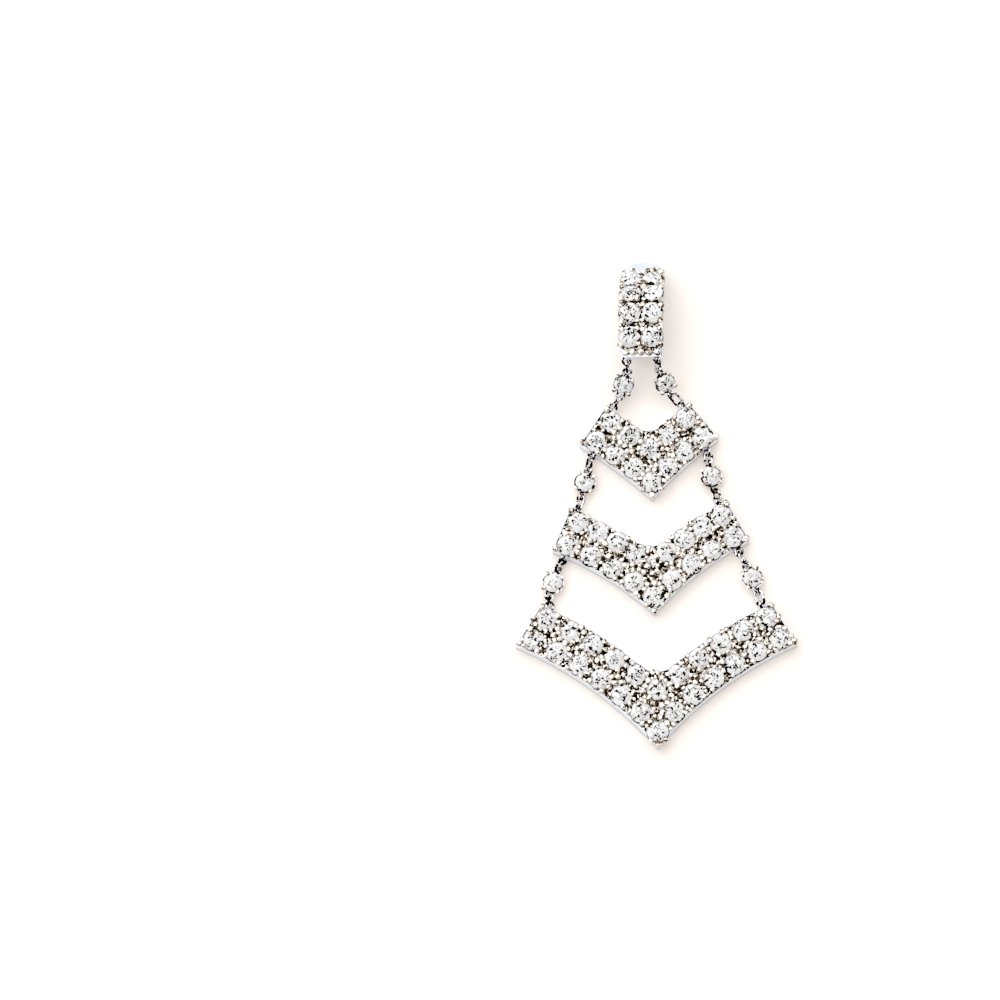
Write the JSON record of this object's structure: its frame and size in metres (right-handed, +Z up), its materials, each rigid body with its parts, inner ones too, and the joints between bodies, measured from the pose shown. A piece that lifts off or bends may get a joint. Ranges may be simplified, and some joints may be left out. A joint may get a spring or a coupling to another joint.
{
  "type": "chandelier earring",
  "caption": "Chandelier earring in white metal: a curved stone-set bar over the ear lobe, with widening stone-set chevrons hung below it on short links with single round stones.",
  "frame": {"origin": "under the middle of the whole earring, on the surface it lies on", "axes": "+Z up out of the stones, +Y towards the ear end, +X to the right as seen from above"},
  "size_m": [0.0252, 0.0446, 0.0053],
  "materials": {
    "white_metal": "polished",
    "clear_stone": "polished"
  },
  "bodies": {
    "root": {"top_bar": "white_metal", "ear_clip": "white_metal", "chevron_top": "white_metal", "chevron_middle": "white_metal", "chevron_bottom": "white_metal", "setting_1_left": "white_metal", "stone_1_left": "clear_stone", "ring_1_left_upper": "white_metal", "ring_1_left_lower": "white_metal", "setting_1_right": "white_metal", "stone_1_right": "clear_stone", "ring_1_right_upper": "white_metal", "ring_1_right_lower": "white_metal", "setting_2_left": "white_metal", "stone_2_left": "clear_stone", "ring_2_left_upper": "white_metal", "ring_2_left_lower": "white_metal", "setting_2_right": "white_metal", "stone_2_right": "clear_stone", "ring_2_right_upper": "white_metal", "ring_2_right_lower": "white_metal", "setting_3_left": "white_metal", "stone_3_left": "clear_stone", "ring_3_left_upper": "white_metal", "ring_3_left_lower": "white_metal", "setting_3_right": "white_metal", "stone_3_right": "clear_stone", "ring_3_right_upper": "white_metal", "ring_3_right_lower": "white_metal"}
  },
  "joints": []
}
